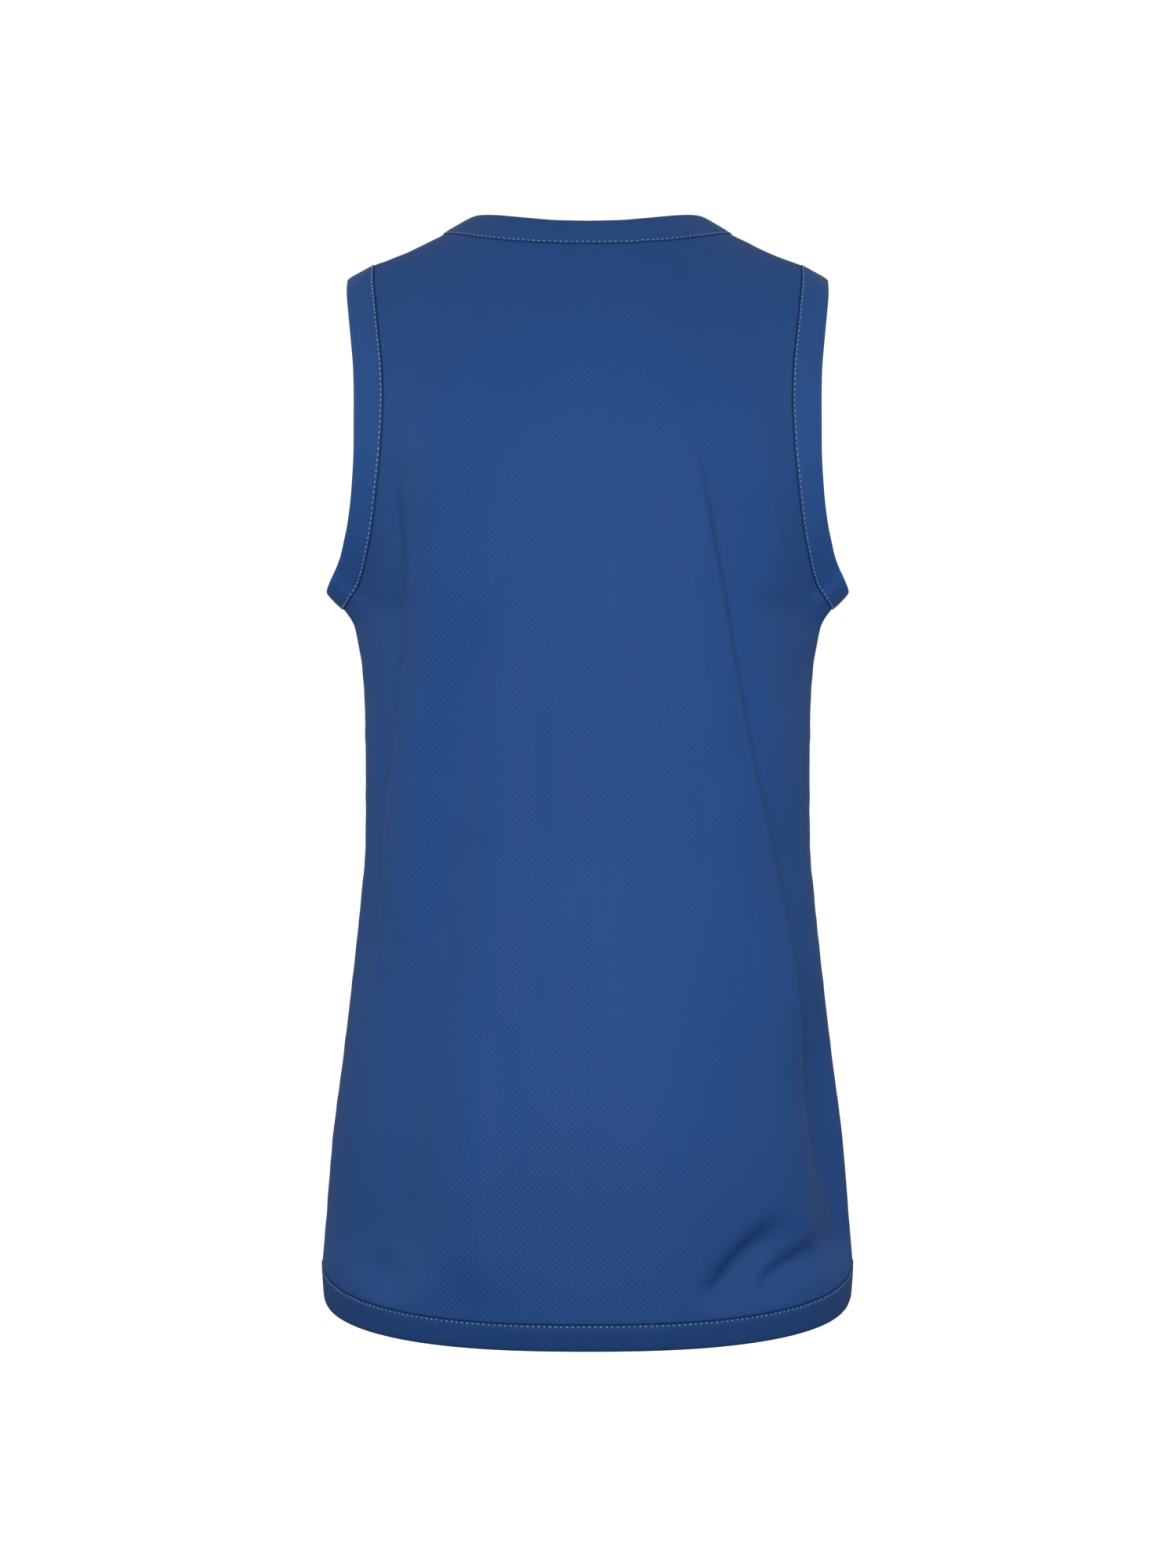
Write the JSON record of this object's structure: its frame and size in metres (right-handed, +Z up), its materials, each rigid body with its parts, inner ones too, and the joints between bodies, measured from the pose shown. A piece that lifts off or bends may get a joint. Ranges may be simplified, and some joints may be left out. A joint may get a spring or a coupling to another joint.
{
  "type": "reversible basketball jersey",
  "caption": "Sleeveless reversible basketball jersey in plain mesh cloth, filled out as if worn, with banded round neck, armholes and hem, hollow and open at each.",
  "frame": {"origin": "midway between the two shoulder seams, at their middle height, where the wearer's shoulders hold the garment up", "axes": "+Z up from the hem to the neck, +Y out of the garment's front, +X to the wearer's right"},
  "size_m": [0.3282, 0.2399, 0.6787],
  "materials": {
    "mesh_cloth": "fine closed mesh knit with a soft low sheen",
    "band_knit": "the same knit folded double, with a light stitch line at its inner edge"
  },
  "bodies": {
    "root": {"back_panel": "mesh_cloth", "front_panel": "mesh_cloth", "hem_band": "mesh_cloth", "neck_band": "band_knit", "armhole_band_left": "band_knit", "armhole_band_right": "band_knit"}
  },
  "joints": []
}
